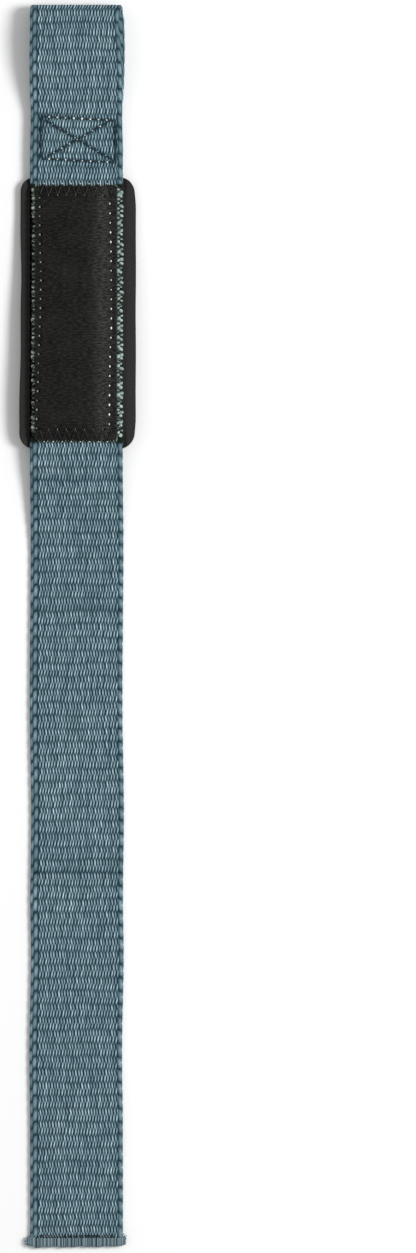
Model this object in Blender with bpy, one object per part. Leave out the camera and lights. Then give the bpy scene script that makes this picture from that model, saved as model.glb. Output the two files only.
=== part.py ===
"""A weightlifting strap as it lies on a floor. One strip of cotton webbing is folded over into an open
loop at one end and bound with thread at the other. A wrist pad lies under it, and a cover patch lies
on it over the pad.

Metres, +Z up. The loop's fold is at +Y, and the origin is on the floor under the middle of the strap.
Places along the strap are distances from the outside of the loop's fold, towards the bound end."""

from collections import namedtuple
import math

import bmesh
import bpy

# Driving dimensions of the webbing
STRAP_LENGTH = 0.5026  # from the loop's fold to the bound end, as it lies
WEB_WIDTH = 0.0380
WEB_THICKNESS = 0.0023
WEB_SIDE_SHIFT = -0.0005  # from the pad's middle to the webbing's middle
CLEARANCE = 0.0003  # between surfaces that touch

# Driving dimensions of the loop and of the lap, where both layers are sewn together
LOOP_LENGTH = 0.0450
LOOP_HEIGHT = 0.0110
LOOP_SKEW = 0.0008  # how far a layer strays sideways
LOOP_NARROWING = 0.0015  # how much narrower the upper layer is, as its sides curl where it leaves the fold
LAP_LENGTH = 0.0245
PINCH = 0.0003  # how far the first row of the lap's stitches draws each side in
PINCH_REACH = 0.0140

# Driving dimensions of the wrist pad
PAD_LENGTH = 0.1100
PAD_WIDTH = 0.0470
PAD_CORNER_RADIUS = 0.0060
PAD_BORDER_THICKNESS = 0.0034  # beside the webbing
PAD_SIDE_THICKNESS = 0.0032  # under the webbing's sides
PAD_CROWN = 0.0008  # how much thicker it is under the webbing's middle
PAD_EDGE_ROUNDING = 0.0005
PAD_FILL_RUN = 0.0120  # from its end, pressed flat by stitches, to its full thickness
PAD_LIFT = 0.0039  # how far its underside arches off the floor

# Driving dimensions of the cover patch
PATCH_LENGTH = 0.1027
PATCH_WIDTH = 0.0330
PATCH_THICKNESS = 0.0010
PATCH_CORNER_RADIUS = 0.0012
PATCH_SETBACK = 0.0040  # from the pad's end by the loop to the patch's end

# Driving dimensions of the tail and its thread binding
TOUCHDOWN_RUN = 0.0430  # from the pad to where the tail meets the floor
TAIL_SWAY = 0.0004  # how far the tail strays sideways
BINDING_LENGTH = 0.0042
BINDING_WALL = 0.0005
BINDING_OVERHANG = 0.0008  # past each side of the webbing
BINDING_ROUNDING = 0.0003
BOUND_THICKNESS = 0.0016  # of the webbing where the binding squeezes it
BOUND_RUN = 0.0050

# Upper layer of the loop. Place: share of the way from the top of the fold to the lap.
# Rise: share of the loop's height over the lap.
LOOP_RISE = (
    (0.00, 0.87),
    (0.18, 1.00),
    (0.40, 0.91),
    (0.65, 0.55),
    (0.85, 0.18),
    (1.00, 0.00),
)

# Place: -1 where the under layer joins the lap, 0 at the fold's tip, 1 where the upper layer joins it.
# Side: share of the loop's skew. Narrowing: share of the upper layer's narrowing.
LOOP_SIDES = (
    (-1.0, 0.0, 0.0),
    (-0.7, 0.6, 0.0),
    (-0.4, 1.0, 0.0),
    (-0.15, 0.7, 0.0),
    (0.0, 0.0, 0.3),
    (0.1, -0.8, 1.0),
    (0.2, -0.8, 1.0),
    (0.4, -0.4, 0.4),
    (0.7, -0.1, 0.0),
    (1.0, 0.0, 0.0),
)

# Place: share of the pad's length from the loop's side. Lift: share of the pad's lift.
PAD_ARCH = (
    (0.00, 0.00),
    (0.12, 0.00),
    (0.22, 0.14),
    (0.39, 0.52),
    (0.56, 0.80),
    (0.74, 1.00),
    (0.84, 1.00),
    (0.92, 0.90),
    (1.00, 0.60),
)

# Place: share of the pad's length. Left and right: how far each side lies in, as shares of its width.
PAD_SIDES = (
    (0.00, 0.008, 0.018),
    (0.12, 0.008, 0.000),
    (0.40, 0.014, 0.000),
    (0.70, 0.008, 0.000),
    (0.88, 0.000, 0.000),
    (1.00, 0.000, 0.018),
)

# Place: share of the way from the pad to the floor. Height: share of its height where it leaves the pad.
TOUCHDOWN = (
    (0.00, 1.00),
    (0.12, 0.88),
    (0.34, 0.58),
    (0.56, 0.33),
    (0.78, 0.11),
    (1.00, 0.00),
)

# Place: share of the tail from the pad to its end. Side: share of the tail's sway.
TAIL_SIDE = (
    (0.00, 0.0),
    (0.12, 0.5),
    (0.32, -0.5),
    (0.46, 1.0),
    (0.57, 0.0),
    (0.63, 0.8),
    (0.76, -0.9),
    (0.85, -0.1),
    (1.00, 0.0),
)

# Where a section has points between its sides, as shares of its half width
INNER_SHARES = (0.6, 0.2, -0.2, -0.6)

# Facets
SIDE_ARC_STEPS = 4
FOLD_STEPS = 12
CORNER_STEPS = 6
UNDER_LAYER_STEPS = 8
LOOP_STEPS = 14
LAP_STEPS = 5
PAD_END_STEPS = 4
PAD_STEPS = 18
TOUCHDOWN_STEPS = 10
TAIL_STEPS = 20
BOUND_STEPS = 4
SHARP_ANGLE = math.radians(50)
SLOPE_REACH = 0.0002  # over which the run's slope is measured

# Places that follow from the driving dimensions
PAD_START = LOOP_LENGTH + LAP_LENGTH
PAD_END = PAD_START + PAD_LENGTH
LAP_UNDERSIDE = WEB_THICKNESS + CLEARANCE
LOOP_CLIMB = LOOP_HEIGHT - LAP_UNDERSIDE - WEB_THICKNESS
BINDING_HEIGHT = BOUND_THICKNESS + 2 * (CLEARANCE + BINDING_WALL)
BINDING_START = STRAP_LENGTH - BINDING_LENGTH
WEB_END = STRAP_LENGTH - BINDING_WALL - CLEARANCE

# Colours, as linear red, green and blue, and roughness
Finish = namedtuple("Finish", "name colour roughness")
WEB_FINISH = Finish("cotton_webbing", (0.120, 0.175, 0.205), 0.9)
PAD_FINISH = Finish("pad_foam", (0.026, 0.026, 0.024), 0.8)
PATCH_FINISH = Finish("patch_leather", (0.015, 0.015, 0.014), 0.5)
BINDING_FINISH = Finish("binding_thread", (0.100, 0.155, 0.180), 0.8)

# One cross-section of the webbing: its place along the strap, the height of its middle, the angle of
# its run, its side shift, half width, thickness, and how far its middle is crowned.
Section = namedtuple("Section", "place height angle side half_width thickness crown")


def smooth_step(share):
    """Ease from 0 to 1, level at both ends."""
    share = min(max(share, 0.0), 1.0)
    return share * share * (3.0 - 2.0 * share)


def eased(rows, place, column=1):
    """Read a column of a table on a smooth curve that is level at its ends and never passes a row."""
    place = min(max(place, rows[0][0]), rows[-1][0])
    slopes = [(after[column] - before[column]) / (after[0] - before[0])
              for before, after in zip(rows, rows[1:])]
    turns = [2.0 * a * b / (a + b) if a * b > 0.0 else 0.0 for a, b in zip(slopes, slopes[1:])]
    turns = [0.0, *turns, 0.0]
    index = max(i for i in range(len(slopes)) if rows[i][0] <= place)
    before, after = rows[index], rows[index + 1]
    run = after[0] - before[0]
    share = (place - before[0]) / run
    blend = smooth_step(share)
    return (before[column] * (1.0 - blend) + after[column] * blend
            + run * turns[index] * share * (1.0 - share) ** 2
            - run * turns[index + 1] * share ** 2 * (1.0 - share))


def spread(start, end, steps):
    """Evenly spaced places from start up to, but not including, end."""
    return [start + (end - start) * step / steps for step in range(steps)]


def world(side, place, height):
    """A point from its side shift, its distance from the fold and its height."""
    return (side, STRAP_LENGTH / 2 - place, height)


def loft(name, rings, finish):
    """One closed object through rings of as many points each, with a face over both ends."""
    mesh = bmesh.new()
    loops = [[mesh.verts.new(point) for point in ring] for ring in rings]
    for ring, following in zip(loops, loops[1:]):
        for index, vert in enumerate(ring):
            beside = (index + 1) % len(ring)
            mesh.faces.new((vert, ring[beside], following[beside], following[index]))
    mesh.faces.new(loops[0])
    mesh.faces.new(loops[-1])
    bmesh.ops.recalc_face_normals(mesh, faces=mesh.faces)
    data = bpy.data.meshes.new(name)
    mesh.to_mesh(data)
    mesh.free()
    data.materials.append(make_material(finish))
    data.shade_smooth()
    data.set_sharp_from_angle(angle=SHARP_ANGLE)
    piece = bpy.data.objects.new(name, data)
    bpy.context.scene.collection.objects.link(piece)
    return piece


def make_material(finish):
    """A plain Principled material."""
    material = bpy.data.materials.new(finish.name)
    material.use_nodes = True
    shader = material.node_tree.nodes["Principled BSDF"]
    shader.inputs["Base Color"].default_value = (*finish.colour, 1.0)
    shader.inputs["Roughness"].default_value = finish.roughness
    shader.inputs["Metallic"].default_value = 0.0
    return material


def pad_lift(place):
    """Height of the pad's underside."""
    return PAD_LIFT * eased(PAD_ARCH, (place - PAD_START) / PAD_LENGTH)


def pad_fill(place):
    """0 at the pad's pressed ends, and 1 where it has its full thickness."""
    return smooth_step(min(place - PAD_START, PAD_END - place) / PAD_FILL_RUN)


def pad_base(place):
    """Thickness of the pad under the webbing's sides."""
    return WEB_THICKNESS + (PAD_SIDE_THICKNESS - WEB_THICKNESS) * pad_fill(place)


def fold_radius():
    """Radius of the fold's outside, from the height of the loop over its tip."""
    return (LAP_UNDERSIDE + LOOP_CLIMB * LOOP_RISE[0][1] + WEB_THICKNESS) / 2


def underside(place):
    """Height of the upper layer's underside at its sides, from the fold to the bound end."""
    if place < LOOP_LENGTH:
        share = (place - fold_radius()) / (LOOP_LENGTH - fold_radius())
        return LAP_UNDERSIDE + LOOP_CLIMB * eased(LOOP_RISE, share)
    if place < PAD_START:
        return LAP_UNDERSIDE
    if place <= PAD_END:
        return pad_lift(place) + pad_base(place) + CLEARANCE
    leaving = pad_lift(PAD_END) + pad_base(PAD_END) + CLEARANCE
    lying = leaving * eased(TOUCHDOWN, (place - PAD_END) / TOUCHDOWN_RUN)
    return lying + (BINDING_WALL + CLEARANCE) * bound_share(place)


def bound_share(place):
    """0 along the tail, and 1 where the binding holds it."""
    return smooth_step((place - BINDING_START + BOUND_RUN) / BOUND_RUN)


def thickness(place):
    """Thickness of the upper layer."""
    return WEB_THICKNESS + (BOUND_THICKNESS - WEB_THICKNESS) * bound_share(place)


def half_width(place, layer):
    """Half the webbing's width, drawn in by the lap's first stitches and where the loop's sides curl."""
    pinched = WEB_WIDTH / 2 - PINCH * smooth_step(1.0 - abs(place - LOOP_LENGTH) / PINCH_REACH)
    return pinched - LOOP_NARROWING / 2 * eased(LOOP_SIDES, layer * place / LOOP_LENGTH, 2)


def side_shift(place, layer):
    """Side shift of the webbing's middle, where layer is 1 for the upper layer and -1 for the under one."""
    if place < LOOP_LENGTH:
        return WEB_SIDE_SHIFT + LOOP_SKEW * eased(LOOP_SIDES, layer * place / LOOP_LENGTH)
    if place > PAD_END:
        return WEB_SIDE_SHIFT + TAIL_SWAY * eased(TAIL_SIDE, (place - PAD_END) / (WEB_END - PAD_END))
    return WEB_SIDE_SHIFT


def under_layer():
    """Sections of the layer that lies on the floor, from its cut end to the fold."""
    middle = WEB_THICKNESS / 2
    places = (spread(PAD_START - CLEARANCE, LOOP_LENGTH, LAP_STEPS)
              + spread(LOOP_LENGTH, fold_radius(), UNDER_LAYER_STEPS))
    return [Section(place, middle, 0.0, side_shift(place, -1), half_width(place, -1), WEB_THICKNESS, 0.0)
            for place in places]


def fold():
    """Sections round the fold, from the floor to the loop's upper layer."""
    radius = fold_radius()
    middle_radius = radius - WEB_THICKNESS / 2
    sections = []
    for step in range(FOLD_STEPS):
        turn = math.pi * step / FOLD_STEPS
        place = radius - middle_radius * math.sin(turn)
        layer = -1 if turn < math.pi / 2 else 1
        nearness = max(place - WEB_THICKNESS / 2, 0.0)
        sections.append(Section(place, radius - middle_radius * math.cos(turn), turn,
                                side_shift(nearness, layer), half_width(nearness, layer),
                                WEB_THICKNESS, 0.0))
    return sections


def upper_layer_places():
    """Places of the upper layer's sections, closer together where it bends."""
    pad_fill_end = PAD_START + PAD_FILL_RUN
    pad_press_start = PAD_END - PAD_FILL_RUN
    touchdown = PAD_END + TOUCHDOWN_RUN
    return (spread(fold_radius(), LOOP_LENGTH, LOOP_STEPS)
            + spread(LOOP_LENGTH, PAD_START, LAP_STEPS)
            + spread(PAD_START, pad_fill_end, PAD_END_STEPS)
            + spread(pad_fill_end, pad_press_start, PAD_STEPS)
            + spread(pad_press_start, PAD_END, PAD_END_STEPS)
            + spread(PAD_END, touchdown, TOUCHDOWN_STEPS)
            + spread(touchdown, BINDING_START - BOUND_RUN, TAIL_STEPS)
            + spread(BINDING_START - BOUND_RUN, BINDING_START, BOUND_STEPS)
            + [BINDING_START, WEB_END])


def upper_section(place):
    """Section of the upper layer. Its angle is pi where it runs level, as the fold has turned it over."""
    slope = (underside(place + SLOPE_REACH) - underside(place - SLOPE_REACH)) / (2 * SLOPE_REACH)
    crown = PAD_CROWN * pad_fill(place) if PAD_START < place < PAD_END else 0.0
    return Section(place, underside(place) + thickness(place) / 2, math.pi - math.atan(slope),
                   side_shift(place, 1), half_width(place, 1), thickness(place), crown)


def section_ring(section):
    """Points round one section, with round sides."""
    half = section.thickness / 2
    outline = []
    for sign in (1, -1):
        for step in range(SIDE_ARC_STEPS + 1):
            turn = math.pi * (step / SIDE_ARC_STEPS - 0.5)
            reach = section.half_width - half * (1.0 - math.cos(turn))
            outline.append((sign * reach, sign * half * math.sin(turn)))
        outline += [(sign * share * section.half_width, sign * half) for share in INNER_SHARES]
    ring = []
    for across, through in outline:
        bulge = section.crown * max(1.0 - (across / section.half_width) ** 2, 0.0)
        # The section's own up turns over with the fold, so the crown lies against it.
        rise = through - bulge
        ring.append(world(section.side + across,
                          section.place + rise * math.sin(section.angle),
                          section.height + rise * math.cos(section.angle)))
    return ring


def make_webbing():
    """The whole strip, from its cut end beside the pad to its bound end."""
    sections = under_layer() + fold() + [upper_section(place) for place in upper_layer_places()]
    rings = [section_ring(section) for section in sections]
    return loft("webbing", rings, WEB_FINISH)


def corner_places(start, end, radius):
    """Pairs of place and inset along a piece with round corners, from its start to its middle or end."""
    towards = 1 if end > start else -1
    return [(start + towards * radius * (1.0 - math.cos(turn)), radius * (1.0 - math.sin(turn)))
            for turn in [math.pi / 2 * step / CORNER_STEPS for step in range(CORNER_STEPS + 1)]]


def rounded_stations(start, end, radius):
    """Pairs of place and inset along a whole piece with four round corners."""
    steps = PAD_STEPS + 2 * PAD_END_STEPS
    first = corner_places(start, end, radius)
    last = corner_places(end, start, radius)[::-1]
    between = [(place, 0.0) for place in spread(first[-1][0], last[0][0], steps)[1:]]
    return first + between + last


def pad_thickness(place, side):
    """Thickness of the pad: crowned under the webbing and higher beside it."""
    base = pad_base(place)
    off_middle = abs(side - WEB_SIDE_SHIFT)
    half = WEB_WIDTH / 2
    crown = PAD_CROWN * pad_fill(place) * max(1.0 - (off_middle / half) ** 2, 0.0)
    beside = smooth_step((off_middle - half - CLEARANCE) / (2 * PAD_EDGE_ROUNDING))
    return base + crown + (PAD_BORDER_THICKNESS - base) * beside


def pad_ring(place, inset):
    """Points round one section of the pad, from its outline, its arch and its thickness."""
    along = (place - PAD_START) / PAD_LENGTH
    left = -PAD_WIDTH / 2 + inset + PAD_WIDTH * eased(PAD_SIDES, along, 1)
    right = PAD_WIDTH / 2 - inset - PAD_WIDTH * eased(PAD_SIDES, along, 2)
    floor = pad_lift(place)
    trough = WEB_WIDTH / 2 + CLEARANCE
    left_trough = max(WEB_SIDE_SHIFT - trough, left + 2 * PAD_EDGE_ROUNDING)
    right_trough = min(WEB_SIDE_SHIFT + trough, right - 2 * PAD_EDGE_ROUNDING)
    crossings = [left + PAD_EDGE_ROUNDING, (left + left_trough) / 2, left_trough]
    crossings += [WEB_SIDE_SHIFT - share * WEB_WIDTH / 2 for share in INNER_SHARES]
    crossings += [right_trough, (right + right_trough) / 2, right - PAD_EDGE_ROUNDING]
    top = [(side, floor + pad_thickness(place, side)) for side in crossings]
    left_edge = [(left, floor), (left, top[0][1] - PAD_EDGE_ROUNDING)]
    right_edge = [(right, top[-1][1] - PAD_EDGE_ROUNDING), (right, floor)]
    return [world(side, place, height) for side, height in left_edge + top + right_edge]


def make_wrist_pad():
    """The padded plate under the webbing."""
    stations = rounded_stations(PAD_START, PAD_END, PAD_CORNER_RADIUS)
    rings = [pad_ring(place, inset) for place, inset in stations]
    return loft("wrist_pad", rings, PAD_FINISH)


def patch_ring(place, inset):
    """Points round one section of the patch, on the webbing's crowned top."""
    carrier = upper_section(place)
    half = PATCH_WIDTH / 2 - inset
    edge = min(PATCH_THICKNESS / 2, half / 2)
    crossings = [half, half - edge]
    crossings += [share * half for share in INNER_SHARES]
    crossings += [edge - half, -half]
    low = carrier.thickness / 2 + CLEARANCE
    heights = [low + PATCH_THICKNESS / 2] + [low + PATCH_THICKNESS] * (len(crossings) - 2) \
        + [low + PATCH_THICKNESS / 2]
    outline = list(zip(crossings, heights))
    outline += [(across, low) for across in crossings[::-1]]
    slope = math.pi - carrier.angle
    ring = []
    for across, height in outline:
        rise = height + carrier.crown * (1.0 - (across / carrier.half_width) ** 2)
        ring.append(world(carrier.side + across, place - rise * math.sin(slope),
                          carrier.height + rise * math.cos(slope)))
    return ring


def make_cover_patch():
    """The thin patch on the webbing over the pad."""
    start = PAD_START + PATCH_SETBACK
    stations = rounded_stations(start, start + PATCH_LENGTH, PATCH_CORNER_RADIUS)
    rings = [patch_ring(place, inset) for place, inset in stations]
    return loft("cover_patch", rings, PATCH_FINISH)


def binding_outline(shrink):
    """The binding's U-shaped section as pairs of place and height, smaller by shrink all round."""
    wall = BINDING_WALL - 2 * shrink
    bevel = BINDING_ROUNDING - shrink
    start, end = BINDING_START + shrink, STRAP_LENGTH - shrink
    low, high = shrink, BINDING_HEIGHT - shrink
    floor_top, roof = low + wall, high - wall
    slot = end - wall
    return [(start, low), (end - bevel, low), (end, low + bevel), (end, high - bevel), (end - bevel, high),
            (start, high), (start, roof), (slot, roof), (slot, floor_top), (start, floor_top)]


def make_end_binding():
    """Thread wrapped over and under the tail's end, open at its sides as the thread runs lengthwise."""
    half = WEB_WIDTH / 2 + BINDING_OVERHANG
    shrink = BINDING_WALL / 4
    rings = []
    for side, less in ((-half, shrink), (shrink - half, 0.0), (half - shrink, 0.0), (half, shrink)):
        outline = binding_outline(less)
        rings.append([world(WEB_SIDE_SHIFT + side, place, height) for place, height in outline])
    return loft("end_binding", rings, BINDING_FINISH)


def main():
    """Clear the scene and make the four pieces."""
    for piece in list(bpy.data.objects):
        bpy.data.objects.remove(piece, do_unlink=True)
    make_webbing()
    make_wrist_pad()
    make_cover_patch()
    make_end_binding()


main()
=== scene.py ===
"""Looks of a weightlifting strap that lies flat: woven webbing, a foam wrist pad, a grained cover patch,
and every row of thread that holds them together."""

import math

import bpy
import numpy as np
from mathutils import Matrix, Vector


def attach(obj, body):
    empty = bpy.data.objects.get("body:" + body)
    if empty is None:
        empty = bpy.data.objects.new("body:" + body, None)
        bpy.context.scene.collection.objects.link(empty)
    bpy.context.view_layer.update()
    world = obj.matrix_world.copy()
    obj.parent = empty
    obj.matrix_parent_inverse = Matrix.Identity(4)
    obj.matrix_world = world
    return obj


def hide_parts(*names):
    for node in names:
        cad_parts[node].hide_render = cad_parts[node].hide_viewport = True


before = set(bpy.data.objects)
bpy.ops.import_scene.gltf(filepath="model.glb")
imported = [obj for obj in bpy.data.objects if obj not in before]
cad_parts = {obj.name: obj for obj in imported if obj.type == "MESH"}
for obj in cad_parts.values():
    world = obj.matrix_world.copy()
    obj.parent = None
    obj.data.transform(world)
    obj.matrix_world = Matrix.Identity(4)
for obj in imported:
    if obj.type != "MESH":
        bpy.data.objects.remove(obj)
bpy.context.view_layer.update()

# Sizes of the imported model, in metres. Places are distances from the outside of the loop's fold.
STRAP_LENGTH = 0.5026
WEB_WIDTH = 0.0380
WEB_THICKNESS = 0.0023
WEB_SIDE_SHIFT = -0.0005
CLEARANCE = 0.0003
LOOP_LENGTH = 0.0450
LOOP_HEIGHT = 0.0110
LOOP_SKEW = 0.0008
LOOP_NARROWING = 0.0015
LAP_LENGTH = 0.0245
PINCH = 0.0003
PINCH_REACH = 0.0140
PAD_LENGTH = 0.1100
PAD_WIDTH = 0.0470
PAD_CORNER_RADIUS = 0.0060
PAD_BORDER_THICKNESS = 0.0034
PAD_SIDE_THICKNESS = 0.0032
PAD_CROWN = 0.0008
PAD_EDGE_ROUNDING = 0.0005
PAD_FILL_RUN = 0.0120
PAD_LIFT = 0.0039
PATCH_LENGTH = 0.1027
PATCH_WIDTH = 0.0330
PATCH_THICKNESS = 0.0010
PATCH_CORNER_RADIUS = 0.0012
PATCH_SETBACK = 0.0040
TOUCHDOWN_RUN = 0.0430
TAIL_SWAY = 0.0004
BINDING_LENGTH = 0.0042
BINDING_WALL = 0.0005
BINDING_OVERHANG = 0.0008
BOUND_THICKNESS = 0.0016
BOUND_RUN = 0.0050

LOOP_RISE = ((0.00, 0.87), (0.18, 1.00), (0.40, 0.91), (0.65, 0.55), (0.85, 0.18), (1.00, 0.00))
LOOP_SIDE = ((-1.0, 0.0), (-0.7, 0.6), (-0.4, 1.0), (-0.15, 0.7), (0.0, 0.0), (0.1, -0.8), (0.2, -0.8),
             (0.4, -0.4), (0.7, -0.1), (1.0, 0.0))
LOOP_NARROW = ((-1.0, 0.0), (-0.15, 0.0), (0.0, 0.3), (0.1, 1.0), (0.2, 1.0), (0.4, 0.4), (0.7, 0.0),
               (1.0, 0.0))
PAD_ARCH = ((0.00, 0.00), (0.12, 0.00), (0.22, 0.14), (0.39, 0.52), (0.56, 0.80), (0.74, 1.00),
            (0.84, 1.00), (0.92, 0.90), (1.00, 0.60))
PAD_LEFT = ((0.00, 0.008), (0.12, 0.008), (0.40, 0.014), (0.70, 0.008), (0.88, 0.000), (1.00, 0.000))
PAD_RIGHT = ((0.00, 0.018), (0.12, 0.000), (0.88, 0.000), (1.00, 0.018))
TOUCHDOWN = ((0.00, 1.00), (0.12, 0.88), (0.34, 0.58), (0.56, 0.33), (0.78, 0.11), (1.00, 0.00))
TAIL_SIDE = ((0.00, 0.0), (0.12, 0.5), (0.32, -0.5), (0.46, 1.0), (0.57, 0.0), (0.63, 0.8),
             (0.76, -0.9), (0.85, -0.1), (1.00, 0.0))

PAD_START = LOOP_LENGTH + LAP_LENGTH
PAD_END = PAD_START + PAD_LENGTH
PATCH_START = PAD_START + PATCH_SETBACK
PATCH_END = PATCH_START + PATCH_LENGTH
LAP_UNDERSIDE = WEB_THICKNESS + CLEARANCE
LOOP_CLIMB = LOOP_HEIGHT - LAP_UNDERSIDE - WEB_THICKNESS
FOLD_RADIUS = (LAP_UNDERSIDE + LOOP_CLIMB * LOOP_RISE[0][1] + WEB_THICKNESS) / 2
BINDING_START = STRAP_LENGTH - BINDING_LENGTH
BINDING_HEIGHT = BOUND_THICKNESS + 2 * (CLEARANCE + BINDING_WALL)
WEB_END = STRAP_LENGTH - BINDING_WALL - CLEARANCE

# The photograph's frame, and how its pixels lie on the strap
PHOTO_SIZE = (416, 1253)
PHOTO_PIXEL = 0.0004043
PAD_MIDDLE_PIXEL = 77.75  # across the frame
FOLD_PIXEL = 5.0  # down the frame

# The weave: floats of warp yarn stand over each weft, shifted by half a column from row to row
COLUMNS_ROUND = 65
COLUMN_SAMPLES = 6
ROW_LENGTH = 0.00265
ROW_SAMPLES = 4
RELIEF = 0.00042
FLOAT_REACH = 0.64  # half its length, as a share of a row
FLOAT_HALF_WIDTH = 0.35  # as a share of a column
PAIR_PULL = 0.035  # how far the two rows of a pair lie towards each other, in rows
ROW_WAVE = 0.16  # how far a row strays along the strap, in rows
COLUMN_WAVE = 0.22  # how far a column strays across it, in columns

FLOAT_LEAN = 0.20  # sideways from its middle to its end, in columns
FLOAT_STRAY = 0.16
FLOAT_CHANCE = 0.28
# Every second column is lowered, and the colour ramp also paints it darker as painted shade.
COLUMN_SHADE = 0.20  # how much lower every second column lies
SELVAGE_STARTS = (13.0, 14.0)  # on the left and the right, in columns from the middle of the face
SELVAGE_END = 19.0
SELVAGE_FLOATS = (4, 3)
SELVAGE_GAP = 0.3  # between the body's last float and the edge's first, in columns
SELVAGE_REACH = 0.46
SELVAGE_HALF_WIDTH = 0.58
SELVAGE_CREST = 0.9
SELVAGE_LEAN = 0.14
SELVAGE_FLOOR = 0.15  # relief of the edge's hollows
SELVAGE_RISE = 0.63
BODY_FLOOR = 0.07
BODY_RISE = 0.89
SELVAGE_TWIST = 0.4
SELVAGE_SWELLS = (0.4, 1.0)  # how far the edge's yarns stand out sideways, as a share of the relief
FADED_PAST_END = 0.0016  # how far the webbing is paler past the patch's ends
# Painted shade: the webbing beside the patch is painted near black along the patch's length and this far past
# its ends.
PAINTED_SHADE_PAST_END = 0.0006
PAINTED_SHADE_BESIDE = 0.0002  # over how far out from the patch's sides the webbing turns near black, as painted shade
FOLD_CORNER = 0.0012  # radius that rounds the fold's two corners
# Each crease sinks the weave, and through the relief the colour ramp paints it darker as painted shade.
CREASES = ((478, 0.16), (608, 0.20), (871, 0.20))  # rows of the photograph, and depths
CREASE_HALF_WIDTH = 0.0012

# Facets of the pad and the patch
FINE_STEP = 0.0004
CORNER_STEPS = 14
EDGE_STEPS = 5
PAD_COLUMNS = 96
PATCH_COLUMNS = 84
PAD_WAVE = 0.00012
PAD_RIM = 0.0005
PATCH_ROUNDING = 0.0004
PATCH_WRINKLE = 0.00008
PAINTED_SHEEN_SIDE = 0.0105  # where a sheen is painted pale on the patch, to the right of the middle

# Stitches
STITCH_POINTS = 11
PRESS_DEPTH = 0.00034
PRESS_HALF_WIDTH = 0.0007
BOX_PITCH = 0.0034
BOX_THREAD = 0.00027
BOX_DIVE = 0.0003
ZIGZAG_PITCH = 0.00376
ZIGZAG_PITCH_RIGHT = 0.00387
ZIGZAG_PITCH_LEFT = 0.00372
END_ZIGZAGS = (("top", 196.0, 184.5), ("bottom", 430.0, 442.0))  # inner and outer rows of the photograph
END_ZIGZAG_SIDES = (40.0, 112.0)  # columns of the photograph
ZIGZAG_THREAD = 0.00022
ZIGZAG_DIVE = 0.0004
HOLE_DEPTH = 0.0003
HOLE_HALF_WIDTH = 0.0006
EDGE_LOOP = (0.00042, 0.0019, 0.0005)  # half the size of the loops over the webbing's left edge
END_KNOT = 0.00030
# The webbing's bulges beside the patch, where half sizes are across, along and up
PUFF_RIGHT = (0.00092, 0.00074, 0.00055)
PUFF_LEFT = (0.00095, 0.00072, 0.00050)
PUFF_PITCH_RIGHT = 0.00193
PUFF_PITCH_LEFT = 0.00188
PUFF_RISE = -0.0001
PUFF_STRAY = 0.0004
PUFF_TURNS = (0.55, 0.20)  # in radians, on the right and on the left
PUFF_ROWS = (190.0, 436.0)  # first and last row of the photograph
PUFF_COLUMNS = ((118.3, 121.1), (34.4,))  # columns of the photograph, on the right and on the left
DOT_SIZES = {"right": 0.00034, "left": 0.00028, "top": 0.00016, "bottom": 0.00016}
# The dark hole beside each dot is a black blob of painted shade.
DOT_HOLE_SHIFT = 0.0008  # from a dot to the dark hole beside it
# Inner holes beside the patch's edges, as pairs of row and column of the photograph
INNER_DOTS_RIGHT = ((185, 109.8), (265, 111.3), (330, 111.6), (356, 110.4), (440, 109.6))
INNER_DOTS_LEFT = ((185, 40.0), (240, 40.2), (275, 41.4), (310, 41.0), (345, 39.6), (385, 38.6), (415, 37.3),
                   (440, 37.2))

# The bound end
RIDGE_PITCH = 0.00055
RIDGE_SAMPLES = 4
RIDGE_RELIEF = 0.00012
RAGGED_END = 0.00022
BUNDLE_PITCH = 0.0011
BUNDLE_DEPTH = 1.3  # in ridges
BINDING_CORNER = 0.0035
BINDING_SLANT = 0.012  # how much shorter the wrap is towards the right
BINDING_DRAW = 0.0009  # how far the wrap is drawn in at its corners
BINDING_CREASES = ((-0.0165, 0.8), (-0.0082, 0.7), (0.0016, 0.5), (0.0078, 0.9), (0.0150, 0.7))
TUFT_STRANDS = 110
TUFT_LEFT = (0.0006, 0.0022, 0.35)  # first place past the wrap's start, reach to the side, share slanted back
TUFT_RIGHT = (-0.0012, 0.0008, 0.55)
TUFT_INSET = 0.0015
TUFT_SPREAD = (0.0022, 0.0030, 0.0022)  # across, along and up
TUFT_LOWEST = 0.0004
TUFT_SHORTEST = 0.0002
TUFT_SLANT = 0.0022
TUFT_SINK = 0.0006
TUFT_CURL = 0.0005
STRAND = 0.00009
NEEDLE_LEFT = -0.0160
NEEDLE_RIGHT = 0.0147
NEEDLE_PITCH = 0.00115
NEEDLE_PLACE = 0.4978
NEEDLE_REACH = 0.0006
NEEDLE_THREAD = 0.00015

# The set
FLOOR_REACH = 4.0
LIGHT_SIZE = 0.62
LIGHT_DISTANCE = 1.6
LIGHT_RISE = math.radians(47)
LIGHT_TURN = math.radians(10)  # from the right towards the loop
LIGHT_POWER = 20.5
FILL_STRENGTH = 0.54
SENSOR_HEIGHT = 36.0  # in millimetres, as Blender takes it
CAMERA_HEIGHT = 2.2
CAMERA_FOCUS = 0.0025

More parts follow.
